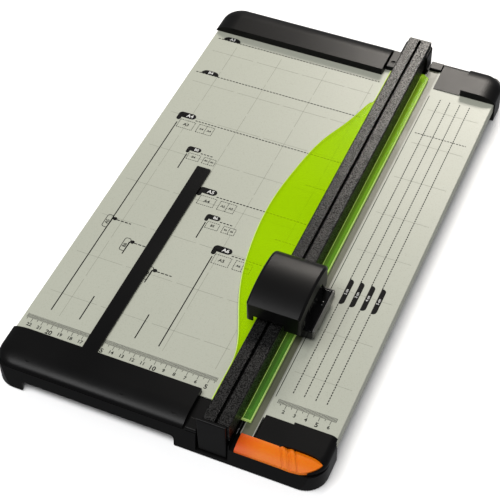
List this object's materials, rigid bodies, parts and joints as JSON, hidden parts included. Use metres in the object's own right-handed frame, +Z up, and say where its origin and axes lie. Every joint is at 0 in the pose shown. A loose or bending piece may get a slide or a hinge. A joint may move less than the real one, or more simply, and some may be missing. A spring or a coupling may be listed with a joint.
{
  "type": "rotary paper trimmer",
  "caption": "Flat deck with paper-size marks, a hinged rail and clear clamp across it, and a sprung carriage that rolls a round blade along a mat strip.",
  "frame": {"origin": "centre of the footprint, on the table under the rubber feet", "axes": "+Z up, +Y away from the user along the rail, +X to the right across the deck"},
  "size_m": [0.3038, 0.5162, 0.0723],
  "materials": {
    "black_plastic": "moulded, fine satin texture",
    "gloss_black": "polished moulding",
    "smoke_plastic": "grey translucent moulding",
    "orange_plastic": "orange moulding",
    "clear_green": "tinted transparent acrylic",
    "white_plastic": "plain moulding",
    "mat_plastic": "soft extruded strip",
    "deck_enamel": "pale grey enamel with printed marks",
    "rail_black": "black powder coat",
    "zinc_steel": "zinc plated",
    "black_steel": "black oxide finish",
    "blade_steel": "ground and hardened",
    "black_rubber": "soft matt rubber",
    "grey_rubber": "thin soft strip",
    "acetal": "self-lubricating moulding"
  },
  "bodies": {
    "base": {"front_body": "black_plastic", "rear_body": "black_plastic", "deck_plate": "deck_enamel", "mat_channel": "white_plastic", "cutting_mat": "mat_plastic", "mat_support_beam": "zinc_steel", "front_cover_left": "black_plastic", "front_cover_right": "black_plastic", "rear_cover_left": "black_plastic", "rear_bridge_cover": "black_plastic", "rear_cover_right": "black_plastic", "rubber_feet": "black_rubber", "cover_screws": "zinc_steel", "deck_screws": "zinc_steel", "hinge_bracket": "black_steel", "hinge_pin": "zinc_steel", "hinge_screws": "black_steel", "hinge_cover_left": "black_plastic", "hinge_cover_right": "black_plastic"},
    "gauge": {"gauge_bar": "black_plastic", "gauge_slider": "black_plastic", "gauge_screws": "zinc_steel"},
    "mat_lever": {"mat_lock_lever": "orange_plastic", "mat_lock_pin": "zinc_steel"},
    "rail": {"rail_beam": "rail_black", "rail_front_cap": "black_plastic", "rail_rear_cap": "black_plastic", "rail_end_screws": "zinc_steel", "clamp_plate": "clear_green", "clamp_screws": "zinc_steel", "clamp_pads": "grey_rubber", "latch_pin": "zinc_steel", "latch_spring": "zinc_steel"},
    "latch": {"rail_latch": "black_plastic"},
    "slider": {"slider_base": "acetal", "guide_shoes": "acetal", "guide_posts": "zinc_steel", "cap_springs": "zinc_steel"},
    "press_head": {"press_cap": "black_plastic", "cap_screws": "zinc_steel", "blade_holder": "black_plastic", "cartridge_housing": "gloss_black", "cartridge_cover": "smoke_plastic", "blade_axle": "zinc_steel"},
    "blade": {"blade_disc": "blade_steel", "blade_hub": "zinc_steel"}
  },
  "joints": [
    {"name": "rail_hinge", "type": "hinge", "parent": "base", "child": "rail", "pos_m": [0.059, 0.2445, 0.0217], "axis": [-1, 0, 0], "range_deg": [0, 50]},
    {"name": "carriage_slide", "type": "slide", "parent": "rail", "child": "slider", "axis": [0, 1, 0], "range_m": [-0.103, 0.318]},
    {"name": "cap_press", "type": "slide", "parent": "slider", "child": "press_head", "axis": [0, 0, -1], "range_m": [0, 0.0032], "stiffness_N_per_m": 700, "springref_m": -0.003, "deforming": ["cap_springs"]},
    {"name": "blade_spin", "type": "hinge", "parent": "press_head", "child": "blade", "pos_m": [0.07985, -0.1065, 0.0421], "axis": [1, 0, 0], "continuous": true},
    {"name": "gauge_slide", "type": "slide", "parent": "base", "child": "gauge", "axis": [1, 0, 0], "range_m": [-0.052, 0.066]},
    {"name": "mat_lever_hinge", "type": "hinge", "parent": "base", "child": "mat_lever", "pos_m": [0.0778, -0.2495, 0.0222], "axis": [0, -1, 0], "range_deg": [0, 80]},
    {"name": "latch_hinge", "type": "hinge", "parent": "rail", "child": "latch", "pos_m": [0.0557, -0.2465, 0.0232], "axis": [-1, 0, 0], "range_deg": [0, 12], "stiffness_Nm_per_rad": 0.05, "springref_deg": -17.19, "deforming": ["latch_spring"]}
  ]
}
